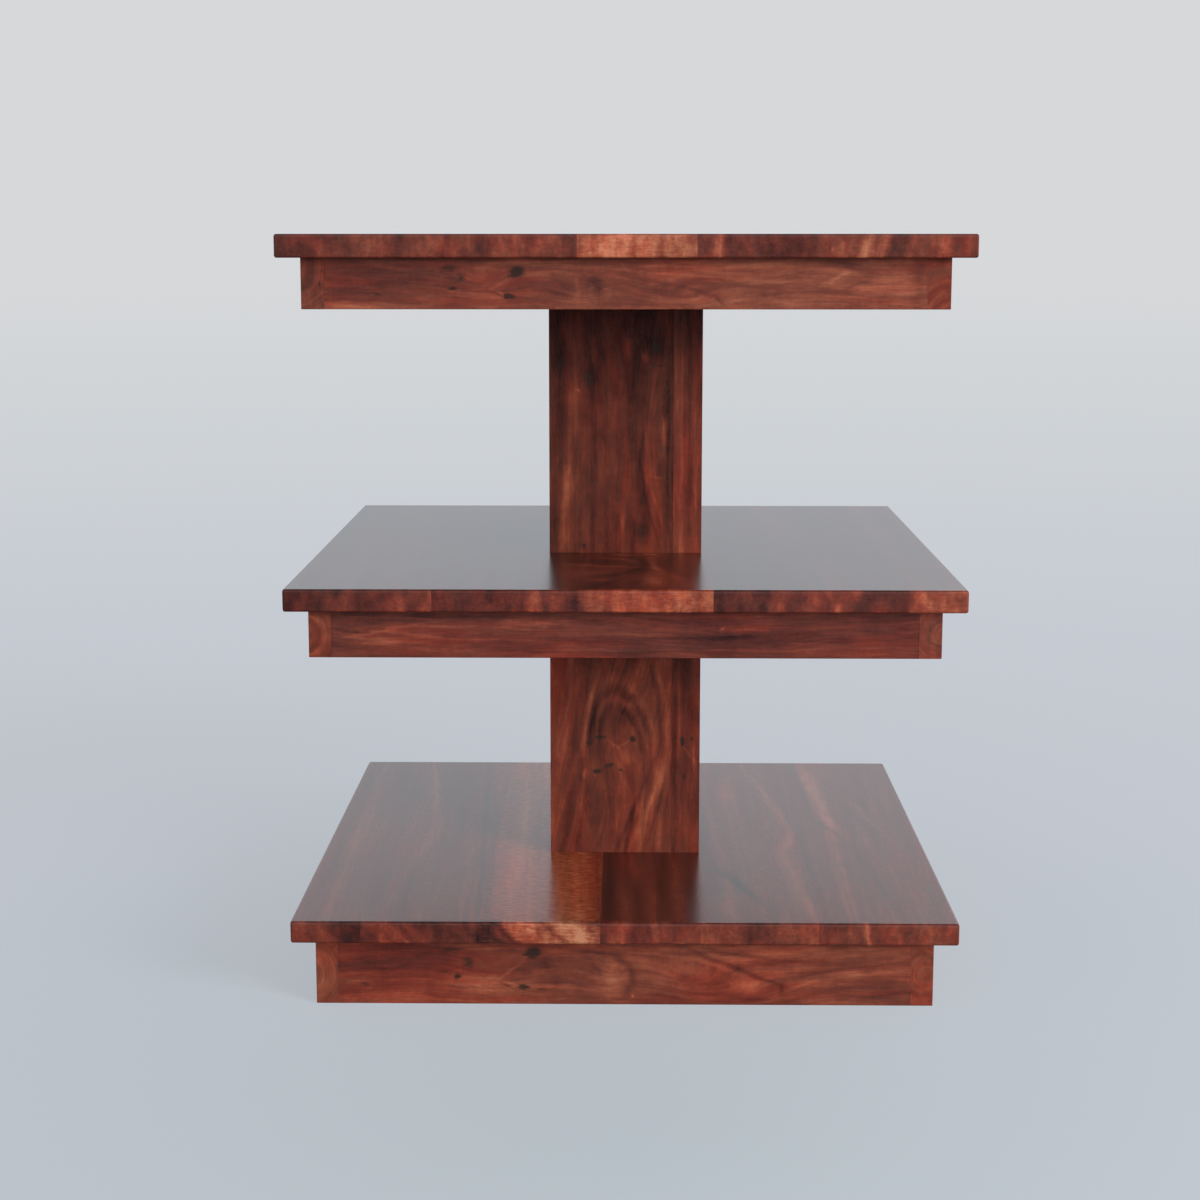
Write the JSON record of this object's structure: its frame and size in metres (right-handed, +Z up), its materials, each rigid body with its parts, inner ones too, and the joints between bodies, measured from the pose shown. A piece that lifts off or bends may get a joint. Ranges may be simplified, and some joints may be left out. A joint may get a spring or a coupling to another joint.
{
  "type": "nightstand",
  "caption": "Solid wood nightstand: square shelves on rail frames, stacked around one central box column above a plinth, with open space on every side.",
  "frame": {"origin": "centre of the square footprint, on the floor", "axes": "+Z up; +Y to the back, so the front faces -Y; +X to the right seen from the front; planks run along Y"},
  "size_m": [0.55, 0.55, 0.6345],
  "materials": {
    "shelf_sheesham": "semi-gloss lacquer over red-brown stain, strong dark and pale streaks running front to back",
    "rail_sheesham": "satin lacquer over red-brown stain, knots and swirling grain along the rail",
    "column_sheesham": "satin lacquer over red-brown stain, upright grain",
    "inner_timber": "planed, thin stain, no gloss",
    "beech_dowel": "bare turned beech",
    "zinc_plated_steel": "bright zinc plate"
  },
  "bodies": {
    "root": {"bottom_shelf_plank_1": "shelf_sheesham", "bottom_shelf_plank_2": "shelf_sheesham", "bottom_shelf_plank_3": "shelf_sheesham", "bottom_shelf_plank_4": "shelf_sheesham", "bottom_shelf_plank_5": "shelf_sheesham", "bottom_shelf_plank_6": "shelf_sheesham", "bottom_shelf_screws": "zinc_plated_steel", "column_dowels": "beech_dowel", "lower_column_back_board": "column_sheesham", "lower_column_bottom_block": "inner_timber", "lower_column_front_board": "column_sheesham", "lower_column_left_board": "column_sheesham", "lower_column_right_board": "column_sheesham", "lower_column_top_block": "inner_timber", "middle_frame_back_rail": "rail_sheesham", "middle_frame_bearer": "inner_timber", "middle_frame_corner_blocks": "inner_timber", "middle_frame_dowels": "beech_dowel", "middle_frame_front_rail": "rail_sheesham", "middle_frame_left_rail": "rail_sheesham", "middle_frame_right_rail": "rail_sheesham", "middle_shelf_plank_1": "shelf_sheesham", "middle_shelf_plank_2": "shelf_sheesham", "middle_shelf_plank_3": "shelf_sheesham", "middle_shelf_plank_4": "shelf_sheesham", "middle_shelf_plank_5": "shelf_sheesham", "middle_shelf_plank_6": "shelf_sheesham", "middle_shelf_screws": "zinc_plated_steel", "plinth_back_rail": "rail_sheesham", "plinth_bearer": "inner_timber", "plinth_corner_blocks": "inner_timber", "plinth_dowels": "beech_dowel", "plinth_front_rail": "rail_sheesham", "plinth_left_rail": "rail_sheesham", "plinth_right_rail": "rail_sheesham", "tie_rod": "zinc_plated_steel", "tie_rod_nuts": "zinc_plated_steel", "tie_rod_washers": "zinc_plated_steel", "top_frame_back_rail": "rail_sheesham", "top_frame_bearer": "inner_timber", "top_frame_corner_blocks": "inner_timber", "top_frame_dowels": "beech_dowel", "top_frame_front_rail": "rail_sheesham", "top_frame_left_rail": "rail_sheesham", "top_frame_right_rail": "rail_sheesham", "top_shelf_plank_1": "shelf_sheesham", "top_shelf_plank_2": "shelf_sheesham", "top_shelf_plank_3": "shelf_sheesham", "top_shelf_plank_4": "shelf_sheesham", "top_shelf_plank_5": "shelf_sheesham", "top_shelf_plank_6": "shelf_sheesham", "top_shelf_screws": "zinc_plated_steel", "upper_column_back_board": "column_sheesham", "upper_column_bottom_block": "inner_timber", "upper_column_front_board": "column_sheesham", "upper_column_left_board": "column_sheesham", "upper_column_right_board": "column_sheesham", "upper_column_top_block": "inner_timber"}
  },
  "joints": []
}
